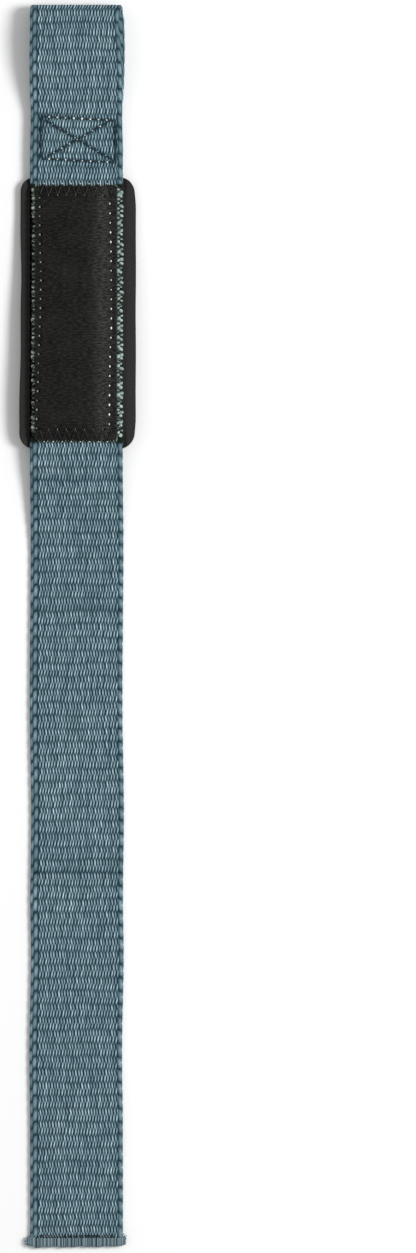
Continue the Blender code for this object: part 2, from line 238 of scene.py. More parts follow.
# Colours, as linear red, green and blue
# Weave ramp by relief: a painted highlight on the crests, the yarn's colour between, painted shade in the
# hollows.
YARN_PAINTED_CREST_HIGHLIGHT = (0.80, 0.93, 0.97)
YARN_LIGHT = (0.50, 0.66, 0.73)
YARN_MIDDLE = (0.205, 0.315, 0.370)
YARN_PAINTED_HOLLOW_SHADE = (0.014, 0.038, 0.050)
YARN_SHADE = (0.66, 0.70, 0.71)
FIBRE_SHADE = (0.88, 0.90, 0.91)
PATCHY_SHADE = (0.86, 0.90, 0.92)
FADED_PAINTED_CREST_HIGHLIGHT = (0.62, 0.72, 0.68)
PAINTED_SHADE_NEAR_PATCH = (0.004, 0.010, 0.007)
FOAM_FACE = (0.014, 0.014, 0.013)
FOAM_CLOUD = (0.019, 0.019, 0.018)
FOAM_GRAIN = (0.045, 0.045, 0.043)
FOAM_CUT_EDGE_AND_SHADE = (0.002, 0.002, 0.002)
LEATHER = (0.003, 0.003, 0.0025)
LEATHER_WORN = (0.013, 0.013, 0.0115)
LEATHER_SHEEN_AND_SCUFF = (0.085, 0.085, 0.078)
BLACK_THREAD = (0.006, 0.006, 0.006)
# Thread of the box and needle rows: its teal painted near black, as painted shade where it lies sunk.
STITCH_PAINTED_SHADE = (0.006, 0.018, 0.024)
PALE_THREAD = (0.62, 0.68, 0.68)
FRAYED_THREAD = (0.22, 0.29, 0.32)
GREY_THREAD = (0.25, 0.27, 0.26)
# Black for the blobs of painted shade that stand for stitch holes, and for the thread loops over the left
# edge.
HOLE_BLACK = (0.0005, 0.0005, 0.0005)
PUFF_DARK_RIGHT = (0.15, 0.23, 0.21)
PUFF_PALE_RIGHT = (0.48, 0.60, 0.55)
# The left bulges' dark end is painted shade: far darker than the right's, on the side of the patch away from
# the light.
PUFF_DARK_LEFT_PAINTED_SHADE = (0.035, 0.060, 0.028)
PUFF_PALE_LEFT = (0.58, 0.68, 0.56)
# Wrap ramp by relief: painted shade in the grooves and creases, the thread's colour between, a painted
# highlight on the ridges.
WRAP_PAINTED_GROOVE_SHADE = (0.004, 0.016, 0.022)
WRAP_MIDDLE = (0.10, 0.165, 0.19)
WRAP_PAINTED_RIDGE_HIGHLIGHT = (0.30, 0.40, 0.44)
WRAP_SHADE = (0.45, 0.50, 0.52)
FLOOR_WHITE = (0.93, 0.93, 0.93)


# Shape of the strap

def smooth_step(share):
    """Ease from 0 to 1, level at both ends."""
    share = np.clip(share, 0.0, 1.0)
    return share * share * (3.0 - 2.0 * share)


def eased(rows, place):
    """Read a table on a smooth curve that is level at its ends and never passes a row."""
    table = np.array(rows)
    place = np.clip(place, table[0, 0], table[-1, 0])
    runs = np.diff(table[:, 0])
    slopes = np.diff(table[:, 1]) / runs
    product = slopes[:-1] * slopes[1:]
    total = np.where(product > 0.0, slopes[:-1] + slopes[1:], 1.0)
    turns = np.concatenate([[0.0], np.where(product > 0.0, 2.0 * product / total, 0.0), [0.0]])
    index = np.clip(np.searchsorted(table[:, 0], place, side="right") - 1, 0, len(runs) - 1)
    share = (place - table[index, 0]) / runs[index]
    blend = smooth_step(share)
    return (table[index, 1] * (1.0 - blend) + table[index + 1, 1] * blend
            + runs[index] * turns[index] * share * (1.0 - share) ** 2
            - runs[index] * turns[index + 1] * share ** 2 * (1.0 - share))


def pad_lift(place):
    """Height of the pad's underside."""
    return PAD_LIFT * eased(PAD_ARCH, (place - PAD_START) / PAD_LENGTH)


def pad_fill(place):
    """0 at the pad's pressed ends, and 1 where it has its full thickness."""
    return smooth_step(np.minimum(place - PAD_START, PAD_END - place) / PAD_FILL_RUN)


def pad_base(place):
    """Thickness of the pad under the webbing's sides."""
    return WEB_THICKNESS + (PAD_SIDE_THICKNESS - WEB_THICKNESS) * pad_fill(place)


def bound_share(place):
    """0 along the tail, and 1 where the binding holds it."""
    return smooth_step((place - BINDING_START + BOUND_RUN) / BOUND_RUN)


def thickness(place):
    """Thickness of the upper layer."""
    return WEB_THICKNESS + (BOUND_THICKNESS - WEB_THICKNESS) * bound_share(place)


def underside(place):
    """Height of the upper layer's underside at its sides, from the fold to the bound end."""
    share = (place - FOLD_RADIUS) / (LOOP_LENGTH - FOLD_RADIUS)
    over_loop = LAP_UNDERSIDE + LOOP_CLIMB * eased(LOOP_RISE, share)
    over_pad = pad_lift(place) + pad_base(place) + CLEARANCE
    leaving = pad_lift(PAD_END) + pad_base(PAD_END) + CLEARANCE
    lying = leaving * eased(TOUCHDOWN, (place - PAD_END) / TOUCHDOWN_RUN)
    lying = lying + (BINDING_WALL + CLEARANCE) * bound_share(place)
    return np.select([place < LOOP_LENGTH, place < PAD_START, place <= PAD_END],
                     [over_loop, LAP_UNDERSIDE, over_pad], lying)


def half_width(place, layer):
    """Half the webbing's width, drawn in by the lap's first stitches and where the loop's sides curl."""
    pinched = WEB_WIDTH / 2 - PINCH * smooth_step(1.0 - np.abs(place - LOOP_LENGTH) / PINCH_REACH)
    return pinched - LOOP_NARROWING / 2 * eased(LOOP_NARROW, layer * place / LOOP_LENGTH)


def side_shift(place, layer):
    """Side shift of the webbing's middle, where layer is 1 for the upper layer and -1 for the under one."""
    in_loop = LOOP_SKEW * eased(LOOP_SIDE, layer * place / LOOP_LENGTH)
    in_tail = TAIL_SWAY * eased(TAIL_SIDE, (place - PAD_END) / (WEB_END - PAD_END))
    return WEB_SIDE_SHIFT + np.select([place < LOOP_LENGTH, place > PAD_END], [in_loop, in_tail], 0.0)


def along_y(place):
    """World Y of a place."""
    return STRAP_LENGTH / 2 - place


def place_of(pixel_down):
    """Place of a row of the photograph."""
    return (pixel_down - FOLD_PIXEL) * PHOTO_PIXEL


def across_of(pixel_across):
    """World X of a column of the photograph."""
    return (pixel_across - PAD_MIDDLE_PIXEL) * PHOTO_PIXEL


def strip_path():
    """The webbing's middle from its cut end to its bound end, as columns against its run length."""
    step = WEB_THICKNESS / 5
    under = np.arange(PAD_START - CLEARANCE, FOLD_RADIUS, -step)
    radius = FOLD_RADIUS - WEB_THICKNESS / 2
    turn = np.arange(0.0, math.pi, step / radius)
    fold = FOLD_RADIUS - radius * np.sin(turn)
    upper = np.append(np.arange(FOLD_RADIUS, WEB_END, step), WEB_END)
    slope = (underside(upper + step) - underside(upper - step)) / (2 * step)
    place = np.concatenate([under, fold, upper])
    height = np.concatenate([np.full(len(under), WEB_THICKNESS / 2), FOLD_RADIUS - radius * np.cos(turn),
                             underside(upper) + thickness(upper) / 2])
    angle = np.concatenate([np.zeros(len(under)), turn, math.pi - np.arctan(slope)])
    layer = np.concatenate([np.full(len(under), -1), np.where(turn < math.pi / 2, -1, 1),
                            np.full(len(upper), 1)])
    nearness = np.concatenate([under, np.maximum(fold - WEB_THICKNESS / 2, 0.0), upper])
    run = np.concatenate([[0.0], np.cumsum(np.hypot(np.diff(place), np.diff(height)))])
    crown = np.where((layer > 0) & (place > PAD_START) & (place < PAD_END), PAD_CROWN * pad_fill(place), 0.0)
    return {"run": run, "place": place, "height": height, "angle": angle, "layer": layer,
            "side": side_shift(nearness, layer), "half": half_width(nearness, layer),
            "thick": np.where(layer > 0, thickness(place), WEB_THICKNESS), "crown": crown}


PATH = strip_path()
STRIP_LENGTH = PATH["run"][-1]
UPPER = PATH["place"].argmin()  # the fold's tip
INNER_RIGHT = [(place_of(down), across_of(side)) for down, side in INNER_DOTS_RIGHT]
INNER_LEFT = [(place_of(down), across_of(side)) for down, side in INNER_DOTS_LEFT]
BOX_CORNERS = [(across_of(41), place_of(117)), (across_of(115), place_of(121)),
               (across_of(115.5), place_of(163)), (across_of(41), place_of(159))]
BOX_LINES = [(BOX_CORNERS[0], BOX_CORNERS[1]), (BOX_CORNERS[3], BOX_CORNERS[2]),
             (BOX_CORNERS[0], BOX_CORNERS[3]), (BOX_CORNERS[1], BOX_CORNERS[2]),
             ((across_of(45), place_of(120.5)), (across_of(113), place_of(160.5))),
             ((across_of(46.5), place_of(157.5)), (across_of(108), place_of(122.5)))]
BOX_KNOTS = (0.00042, 0.00032, 0.0, 0.0, 0.00018, 0.00026)  # size of the pale knots in each line


def top_of_web(place, across):
    """Height of the webbing's upper side, between the pad's ends and beyond."""
    off_middle = (across - side_shift(place, 1)) / half_width(place, 1)
    crown = np.where((place > PAD_START) & (place < PAD_END), PAD_CROWN * pad_fill(place), 0.0)
    return underside(place) + thickness(place) + crown * np.maximum(1.0 - off_middle ** 2, 0.0)


# Meshes

def scatter(*numbers):
    """A fixed value from 0 to 1 for each set of numbers, which looks like chance."""
    mixed = sum(number * weight for number, weight in zip(numbers, (12.9898, 78.233, 37.719)))
    return np.abs(np.modf(np.sin(mixed) * 43758.5453)[0])


def new_piece(name, points, faces, material, smooth=True):
    """An object that rides on the part's one body."""
    mesh = bpy.data.meshes.new(name)
    mesh.from_pydata([tuple(point) for point in points], [], [tuple(face) for face in faces])
    if smooth:
        mesh.shade_smooth()
    mesh.materials.append(material)
    piece = bpy.data.objects.new(name, mesh)
    bpy.context.scene.collection.objects.link(piece)
    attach(piece, "root")
    return piece


def keep_values(piece, name, values):
    """Keep one number, or three, at each point for the piece's material."""
    kind = "FLOAT" if values.ndim == 1 else "FLOAT_VECTOR"
    attribute = piece.data.attributes.new(name, kind, "POINT")
    attribute.data.foreach_set("value" if kind == "FLOAT" else "vector", values.astype(np.float32).ravel())


def ring_faces(rows, around):
    """Quads of a tube of rings, where each ring has as many points."""
    row, column = np.meshgrid(np.arange(rows - 1), np.arange(around), indexing="ij")
    beside = (column + 1) % around
    quads = np.stack([row * around + column, row * around + beside,
                      (row + 1) * around + beside, (row + 1) * around + column], axis=-1)
    return quads.reshape(-1, 4)


def joined(parts):
    """One set of points and faces from several."""
    points, faces, start = [], [], 0
    for part_points, part_faces in parts:
        points.append(part_points)
        faces += [tuple(corner + start for corner in face) for face in part_faces]
        start += len(part_points)
    return np.concatenate(points), faces


def thread(line, radius, sides=8):
    """Points and faces of a round closed thread along a line of points, thinner at its ends."""
    line = np.asarray(line, dtype=float)
    run = np.gradient(line, axis=0)
    run /= np.linalg.norm(run, axis=1)[:, None]
    lift = np.where(np.abs(run[:, 2:3]) > 0.9, [[1.0, 0.0, 0.0]], [[0.0, 0.0, 1.0]])
    beside = np.cross(run, lift)
    beside /= np.linalg.norm(beside, axis=1)[:, None]
    above = np.cross(beside, run)
    turns = 2 * math.pi * np.arange(sides) / sides
    taper = np.ones(len(line))
    taper[[0, -1]] = 0.6
    spokes = (np.cos(turns)[None, :, None] * beside[:, None] + np.sin(turns)[None, :, None] * above[:, None])
    rings = line[:, None] + radius * taper[:, None, None] * spokes
    faces = [tuple(quad[::-1]) for quad in ring_faces(len(line), sides)]
    last = (len(line) - 1) * sides
    faces.append(tuple(range(sides)))
    faces.append(tuple(range(last + sides - 1, last - 1, -1)))
    return rings.reshape(-1, 3), faces


def on_web(across, place, above=0.0):
    """World point on the webbing's upper side."""
    return (across, along_y(place), top_of_web(place, across) + above)


def stitch(start, end, surface, radius, bow, dive):
    """A stitch from one hole to the next. It comes up out of a hole, lies on the surface and dives again."""
    shares = np.linspace(0.0, 1.0, STITCH_POINTS)
    line = []
    for share in shares:
        across = start[0] + (end[0] - start[0]) * share
        place = start[1] + (end[1] - start[1]) * share
        height = bow * math.sin(math.pi * share) - dive * abs(2.0 * share - 1.0) ** 6
        line.append((across, along_y(place), surface(place, across) + height))
    return thread(line, radius)


# Materials

def new_material(name, roughness, sheen=0.0, specular=0.5):
    """A Principled material and its node tree."""
    material = bpy.data.materials.new(name)
    material.use_nodes = True
    shader = material.node_tree.nodes["Principled BSDF"]
    shader.inputs["Roughness"].default_value = roughness
    shader.inputs["Sheen Weight"].default_value = sheen
    shader.inputs["Specular IOR Level"].default_value = specular
    return material


def add_node(material, kind, inputs=(), **settings):
    """A node with its settings, and with values or links for its inputs by name or number."""
    node = material.node_tree.nodes.new(kind)
    for name, value in settings.items():
        setattr(node, name, value)
    for name, value in dict(inputs).items():
        if isinstance(value, bpy.types.NodeSocket):
            material.node_tree.links.new(value, node.inputs[name])
        else:
            node.inputs[name].default_value = value
    return node


def to_shader(material, name, socket):
    """Link a socket to the material's shader."""
    shader = material.node_tree.nodes["Principled BSDF"]
    material.node_tree.links.new(socket, shader.inputs[name])


def stored(material, name):
    """The value that a mesh keeps under this name."""
    return add_node(material, "ShaderNodeAttribute", attribute_name=name)


def ramp(material, factor, stops):
    """Colours along a factor from 0 to 1."""
    node = add_node(material, "ShaderNodeValToRGB", {"Fac": factor})
    elements = node.color_ramp.elements
    for place, _ in stops[2:]:
        elements.new(place)
    for element, (place, colour) in zip(elements, sorted(stops)):
        element.position = place
        element.color = (*colour, 1.0)
    return node.outputs["Color"]


def blend(material, factor, first, second, kind="MIX"):
    """Mix of two colours, each a socket or a fixed colour."""
    inputs = {0: factor, 6: first, 7: second}
    inputs = {slot: (*value, 1.0) if isinstance(value, tuple) else value for slot, value in inputs.items()}
    node = add_node(material, "ShaderNodeMix", inputs, data_type="RGBA", blend_type=kind)
    return node.outputs[2]


def noise(material, place, scale, detail=3.0, roughness=0.5):
    """Soft noise from 0 to 1."""
    inputs = {"Vector": place, "Scale": scale, "Detail": detail, "Roughness": roughness}
    return add_node(material, "ShaderNodeTexNoise", inputs).outputs["Fac"]


def stretched(material, vector, scale):
    """A vector scaled by axis."""
    return add_node(material, "ShaderNodeMapping", {"Vector": vector, "Scale": scale}).outputs["Vector"]


def spread_out(material, value, low, high, new_low=0.0, new_high=1.0):
    """A value's range from low to high stretched to a new one."""
    inputs = {"Value": value, "From Min": low, "From Max": high, "To Min": new_low, "To Max": new_high}
    return add_node(material, "ShaderNodeMapRange", inputs).outputs["Result"]


def bump(material, height, distance, strength=1.0, under=None):
    """Bump from a height, on top of another bump if there is one."""
    inputs = {"Height": height, "Distance": distance, "Strength": strength}
    if under is not None:
        inputs["Normal"] = under
    return add_node(material, "ShaderNodeBump", inputs).outputs["Normal"]


def webbing_material():
    """Cotton yarns: shade is painted dark where they dive between their neighbours, and a highlight is
    painted pale on their crests, which are fuzzy.
    """
    material = new_material("cotton_webbing", roughness=0.9, sheen=0.02, specular=0.12)
    relief = stored(material, "relief").outputs["Fac"]
    tone = stored(material, "tone").outputs["Fac"]
    strip = stored(material, "strip").outputs["Vector"]
    # The relief ramp paints shade into the hollows between floats and a highlight onto their crests.
    yarn = ramp(material, relief, [(0.20, YARN_PAINTED_HOLLOW_SHADE), (0.95, YARN_PAINTED_CREST_HIGHLIGHT), (0.50, YARN_MIDDLE),
                                   (0.75, YARN_LIGHT)])
    # Past the patch's ends a paler, greener relief ramp, which again paints shade into the hollows and a
    # highlight onto the crests.
    faded = ramp(material, relief, [(0.30, PAINTED_SHADE_NEAR_PATCH), (0.95, FADED_PAINTED_CREST_HIGHLIGHT)])
    yarn = blend(material, stored(material, "faded").outputs["Fac"], yarn, faded)
    shaded = blend(material, tone, yarn, YARN_SHADE, "MULTIPLY")
    fibres = noise(material, stretched(material, strip, (5200.0, 900.0, 1.0)), 1.0, 2.0)
    mottled = blend(material, spread_out(material, fibres, 0.35, 0.75), shaded, FIBRE_SHADE, "MULTIPLY")
    patches = noise(material, stretched(material, strip, (60.0, 45.0, 1.0)), 1.0, 3.0)
    worn = blend(material, spread_out(material, patches, 0.35, 0.70), mottled, PATCHY_SHADE, "MULTIPLY")
    # Beside the patch the webbing is painted near black, as painted shade.
    dark = blend(material, stored(material, "painted_shade").outputs["Fac"], worn, PAINTED_SHADE_NEAR_PATCH)
    to_shader(material, "Base Color", dark)
    to_shader(material, "Normal", bump(material, fibres, 0.00012, 0.6))
    return material


def foam_material():
    """Fine dark fabric over foam, with a near-black rim: the foam edge that the cutting die left is darker,
    and the rim's rounded top is painted dark as painted shade.
    """
    material = new_material("pad_foam", roughness=0.82, sheen=0.05, specular=0.15)
    rim = stored(material, "rim").outputs["Fac"]
    strip = stored(material, "strip").outputs["Vector"]
    cells = noise(material, stretched(material, strip, (2600.0, 2600.0, 1.0)), 1.0, 2.0)
    cloud = noise(material, stretched(material, strip, (90.0, 60.0, 1.0)), 1.0, 4.0)
    face = blend(material, spread_out(material, cloud, 0.3, 0.7, 0.0, 0.5), FOAM_FACE, FOAM_CLOUD)
    grain = blend(material, spread_out(material, cells, 0.35, 0.75, 0.0, 0.8), face, FOAM_GRAIN)
    to_shader(material, "Base Color", blend(material, rim, grain, FOAM_CUT_EDGE_AND_SHADE))
    to_shader(material, "Normal", bump(material, cells, 0.00015, 0.5))
    return material


def leather_material():
    """Dark leather with fine grain, faint wrinkles and pale scuffs, a sheen painted pale to the right of the
    middle, and a paler rim.
    """
    material = new_material("patch_leather", roughness=0.5, specular=0.09)
    strip = stored(material, "strip").outputs["Vector"]
    sheen_and_pale_rim = stored(material, "sheen_and_pale_rim").outputs["Fac"]
    grain = add_node(material, "ShaderNodeTexVoronoi", {"Vector": strip, "Scale": 1500.0}).outputs["Distance"]
    wrinkles = noise(material, stretched(material, strip, (240.0, 700.0, 1.0)), 1.0, 5.0, 0.6)
    cloud = noise(material, stretched(material, strip, (70.0, 110.0, 1.0)), 1.0, 4.0)
    worn = blend(material, spread_out(material, cloud, 0.35, 0.75, 0.0, 0.6), LEATHER, LEATHER_WORN)
    streaks = noise(material, stretched(material, strip, (500.0, 1900.0, 1.0)), 1.0, 4.0, 0.65)
    # Painted sheen where the sheen value is high; faint pale scuffs everywhere else.
    painted_sheen_colour = blend(material, spread_out(material, streaks, 0.38, 0.66), worn, LEATHER_SHEEN_AND_SCUFF)
    scuffed = blend(material, spread_out(material, streaks, 0.46, 0.72, 0.0, 0.30), worn, LEATHER_SHEEN_AND_SCUFF)
    to_shader(material, "Base Color", blend(material, sheen_and_pale_rim, scuffed, painted_sheen_colour))
    to_shader(material, "Roughness", spread_out(material, wrinkles, 0.3, 0.7, 0.42, 0.62))
    folds = bump(material, wrinkles, 0.0010, 0.6)
    to_shader(material, "Normal", bump(material, grain, 0.0002, 0.4, folds))
    return material


def thread_material(name, colour, roughness=0.6, specular=0.4):
    """Twisted thread, with a little change of shade along it."""
    material = new_material(name, roughness=roughness, specular=specular)
    place = add_node(material, "ShaderNodeTexCoord").outputs["Object"]
    shade = noise(material, place, 700.0, 2.0)
    lighter = tuple(min(1.6 * part, 1.0) for part in colour)
    to_shader(material, "Base Color", blend(material, shade, colour, lighter))
    to_shader(material, "Normal", bump(material, noise(material, place, 4000.0, 1.0), 0.0001, 0.4))
    return material


def puff_material(name, dark, pale):
    """Bulged yarn of the webbing, paler at some stitches than at others."""
    material = new_material(name, roughness=0.9, specular=0.1)
    place = add_node(material, "ShaderNodeTexCoord").outputs["Object"]
    shade = noise(material, place, 500.0, 3.0)
    to_shader(material, "Base Color", blend(material, spread_out(material, shade, 0.35, 0.68), dark, pale))
    return material


def satin_material():
    """The end's thread wrap: smooth lengthwise threads, with shade painted dark into the lines and creases
    between them and a highlight painted pale on their ridges.
    """
    material = new_material("binding_thread", roughness=0.7, sheen=0.1, specular=0.35)
    relief = stored(material, "relief").outputs["Fac"]
    tone = stored(material, "tone").outputs["Fac"]
    yarn = ramp(material, relief, [(0.0, WRAP_PAINTED_GROOVE_SHADE), (1.0, WRAP_PAINTED_RIDGE_HIGHLIGHT), (0.5, WRAP_MIDDLE)])
    to_shader(material, "Base Color", blend(material, tone, yarn, WRAP_SHADE, "MULTIPLY"))
    return material


# The webbing

def float_relief(across, row, seed):
    """Relief and shade of a lattice of floats, from places in float widths and rows."""
    relief, tone = np.zeros_like(row), np.zeros_like(row)
    for neighbour in (-1, 0, 1):
        index = np.floor(row) + neighbour
        odd = np.mod(index, 2)
        along = (row - index - 0.5 + PAIR_PULL * (2.0 * odd - 1.0)) / FLOAT_REACH
        position = across - 0.5 * odd - FLOAT_LEAN * (1.0 - 2.0 * odd) * along
        column = np.round(position)
        chance = scatter(column, index, seed)
        narrow = np.clip(1.0 - along ** 2, 0.0, 1.0)
        off = (position - column + FLOAT_STRAY * (chance - 0.5)) / FLOAT_HALF_WIDTH
        off = off / (0.45 + 0.55 * narrow)
        height = narrow ** 0.4 * np.clip(1.0 - off ** 2, 0.0, 1.0) * (1.0 - FLOAT_CHANCE * chance)
        higher = height > relief
        relief = np.where(higher, height, relief)
        tone = np.where(higher, scatter(index, column, seed + 1.0), tone)
    return relief * (1.0 - COLUMN_SHADE * (0.5 - 0.5 * np.cos(math.pi * across))), tone


def selvage_relief(across, row):
    """Relief and shade of the edge's thick yarns, which are staggered like a braid."""
    relief, tone = np.zeros_like(row), np.zeros_like(row)
    for neighbour in (-1, 0, 1):
        column = np.maximum(np.floor(across) + neighbour, 0)
        place = row / 2 + 0.5 * np.mod(column, 2)
        index = np.floor(place)
        chance = scatter(column, index, 5.0)
        along = (place - index - 0.5) / (SELVAGE_REACH + 0.06 * chance)
        off = (across - column - 0.5 - SELVAGE_LEAN * along) / SELVAGE_HALF_WIDTH
        height = SELVAGE_CREST * np.clip(1.0 - along ** 2, 0.0, 1.0) ** 0.7
        height = height * np.clip(1.0 - off ** 2, 0.0, 1.0)
        height = height * (1.0 - FLOAT_CHANCE * chance)
        higher = height > relief
        relief = np.where(higher, height, relief)
        tone = np.where(higher, scatter(index, column, 7.0), tone)
    twist = 0.5 + 0.5 * np.sin(2 * math.pi * (1.5 * across + 2.0 * row))
    return relief * (1.0 - SELVAGE_TWIST * twist), tone


def strayed(across, along, seed):
    """Smooth stray from -1 to 1, from places in metres."""
    slow = np.sin(210.0 * across + 90.0 * along + seed) * np.sin(170.0 * along - 60.0 * across + 2.0 * seed)
    quick = np.sin(520.0 * along + 330.0 * across + 3.0 * seed)
    quick = quick * np.sin(410.0 * across - 280.0 * along + seed)
    return 0.6 * slow + 0.4 * quick


def distance_to(line, across, place):
    """Distance of points from a straight line between two points of the strap."""
    (start_across, start_place), (end_across, end_place) = line
    run_across, run_place = end_across - start_across, end_place - start_place
    share = ((across - start_across) * run_across + (place - start_place) * run_place)
    share = np.clip(share / (run_across ** 2 + run_place ** 2), 0.0, 1.0)
    return np.hypot(across - start_across - share * run_across, place - start_place - share * run_place)


def webbing_surface():
    """Points of the whole strip in rings, with the values that its material reads."""
    rows = round(STRIP_LENGTH / ROW_LENGTH)
    row = np.arange(rows * ROW_SAMPLES + 1) / ROW_SAMPLES
    run = row * STRIP_LENGTH / rows
    path = {name: np.interp(run, PATH["run"], PATH[name])[:, None] for name in PATH}
    ring_points = COLUMNS_ROUND * COLUMN_SAMPLES
    share = (np.arange(ring_points) / ring_points + 0.5) % 1.0 - 0.5
    radius = path["thick"] / 2
    flat = path["half"] - radius
    girth = 4 * flat + 2 * math.pi * radius
    arc = share * girth
    sign, reach = np.sign(arc), np.abs(arc)
    turn = np.clip((reach - flat) / radius, 0.0, math.pi)
    beyond = np.maximum(reach - flat - math.pi * radius, 0.0)
    across = sign * (np.minimum(reach, flat) + radius * np.sin(turn) - beyond)
    through = radius * np.cos(turn)

    column = share * COLUMNS_ROUND + 0.0 * row[:, None]
    lies = arc + 0.0 * column
    rows_here = row[:, None] + ROW_WAVE * strayed(lies, run[:, None], 0.0)
    starts = np.where(column < 0, *SELVAGE_STARTS)
    from_edge = (np.abs(column) - starts) / (SELVAGE_END - starts)
    opposite = np.where(column < 0, -COLUMNS_ROUND / 2, COLUMNS_ROUND / 2)
    body_column = np.where(from_edge > 1.0, column - opposite, column)
    body_column = body_column + COLUMN_WAVE * strayed(run[:, None], lies, 1.0)
    body, body_tone = float_relief(body_column, rows_here, 0.0)
    from_selvage = (np.abs(from_edge - 0.5) - 0.5) * (SELVAGE_END - starts)
    body = body * smooth_step(from_selvage / SELVAGE_GAP)
    edge, edge_tone = selvage_relief(from_edge * np.where(column < 0, *SELVAGE_FLOATS), rows_here)
    in_selvage = (from_edge >= 0.0) & (from_edge <= 1.0)
    relief = np.where(in_selvage, SELVAGE_FLOOR + SELVAGE_RISE * edge, BODY_FLOOR + BODY_RISE * body)
    tone = np.where(in_selvage, edge_tone, body_tone)
    upper = path["layer"] > 0
    # Creases lower the relief, so they sink and are painted darker as painted shade.
    for crease, depth in CREASES:
        off = (path["place"] - place_of(crease)) / CREASE_HALF_WIDTH
        relief = relief * np.where(upper, 1.0 - depth * np.exp(-off ** 2), 1.0)

    place = path["place"] + 0.0 * across
    pressed = np.zeros_like(across)
    for line in BOX_LINES:
        gap = distance_to(line, path["side"] + across, place)
        pressed = np.maximum(pressed, np.exp(-(gap / PRESS_HALF_WIDTH) ** 2))
    pressed = np.where(upper & (through > 0.0), pressed, 0.0)
    swell = np.where(column < 0, *SELVAGE_SWELLS) * np.sin(turn)
    depth = RELIEF * (1.0 - relief) * (1.0 + swell) - RELIEF * swell / 2 + PRESS_DEPTH * pressed
    from_tip = np.clip(path["place"] / FOLD_CORNER, 0.0, 1.0)
    corner = FOLD_CORNER * (1.0 - np.sqrt(from_tip * (2.0 - from_tip)))
    across = (across - sign * np.sin(turn) * depth) * (1.0 - corner / path["half"])
    through = through - np.cos(turn) * depth
    rise = -through - path["crown"] * np.maximum(1.0 - (across / path["half"]) ** 2, 0.0)
    points = np.stack([path["side"] + across,
                       along_y(path["place"] + rise * np.sin(path["angle"])),
                       path["height"] + rise * np.cos(path["angle"])], axis=-1)
    strip = np.stack([arc, run[:, None] + 0.0 * arc, 0.0 * arc], axis=-1)
    beside = np.abs(points[..., 0] - WEB_SIDE_SHIFT) - PATCH_WIDTH / 2
    past_end = np.maximum(PATCH_START - place, place - PATCH_END)
    faded = smooth_step(1.0 - past_end / FADED_PAST_END)
    # Painted shade beside the patch, along its length and a little past its ends.
    painted_shade = smooth_step(2.0 - past_end / PAINTED_SHADE_PAST_END) * smooth_step(beside / PAINTED_SHADE_BESIDE)
    shown = upper & (through > -WEB_THICKNESS / 4)
    # Along the box's stitch lines the relief kept for colour is lowered by up to half, which paints shade
    # into the pressed grooves.
    values = {"relief": relief * (1.0 - 0.5 * pressed), "tone": tone, "strip": strip,
              "faded": np.where(shown, faded, 0.0), "painted_shade": np.where(shown, painted_shade, 0.0)}
    return points, values, run


def outward(points, faces):
    """The faces, turned over if they face into the solid."""
    corners = np.array([face[:3] for face in faces if len(face) < 5])
    first, second, third = points[corners[:, 0]], points[corners[:, 1]], points[corners[:, 2]]
    middle = points.mean(axis=0)
    inside = np.einsum("ij,ij->i", first - middle, np.cross(second - first, third - first)).sum() < 0.0
    return [tuple(face)[::-1] for face in faces] if inside else [tuple(face) for face in faces]


def closed_rings(rings):
    """Points and faces of a solid through rings, with a face over both ends."""
    rows, around = rings.shape[:2]
    points = rings.reshape(-1, 3)
    faces = [tuple(quad) for quad in ring_faces(rows, around)]
    faces.append(tuple(range(around))[::-1])
    faces.append(tuple(range((rows - 1) * around, rows * around)))
    return points, outward(points, faces)


def flatten_ends(piece):
    """Keep the end faces from shading the rings that they close."""
    few = [len(face.vertices) < 5 for face in piece.data.polygons]
    piece.data.polygons.foreach_set("use_smooth", few)


def make_webbing(material):
    """The strip in four lengths, each a closed piece of cloth."""
    points, values, run = webbing_surface()
    beyond_fold = run > PATH["run"][UPPER]
    place = np.interp(run, PATH["run"], PATH["place"])
    cuts = [0]
    for cut_place in (PAD_START, PAD_END + TOUCHDOWN_RUN / 2, (PAD_END + STRAP_LENGTH) / 2 + 0.01):
        first = int(np.argmax(beyond_fold & (place >= cut_place)))
        cuts.append(first // ROW_SAMPLES * ROW_SAMPLES)
    cuts.append(len(run) - 1)
    pieces = []
    names = ("webbing_loop", "webbing_wrist", "webbing_tail", "webbing_end")
    for name, start, end in zip(names, cuts, cuts[1:]):
        rings = slice(start, end + 1)
        piece = new_piece(name, *closed_rings(points[rings]), material)
        flatten_ends(piece)
        for value_name, value in values.items():
            kept = value[rings]
            keep_values(piece, value_name, kept.reshape(-1, 3) if kept.ndim == 3 else kept.ravel())
        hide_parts("webbing")
        pieces.append((piece, run[end] - run[start]))
    return pieces


# The pad and the patch

def stations(start, end, radius, step):
    """Places along a piece with round corners, and how far its sides lie in at each of them."""
    turn = np.linspace(0.0, math.pi / 2, CORNER_STEPS + 1)
    ahead, inset = radius * (1.0 - np.cos(turn)), radius * (1.0 - np.sin(turn))
    count = max(int((end - start - 2 * radius) / step), 2)
    between = np.linspace(start + radius, end - radius, count)[1:-1]
    places = np.concatenate([start + ahead, between, (end - ahead)[::-1]])
    return places, np.concatenate([inset, 0.0 * between, inset[::-1]])


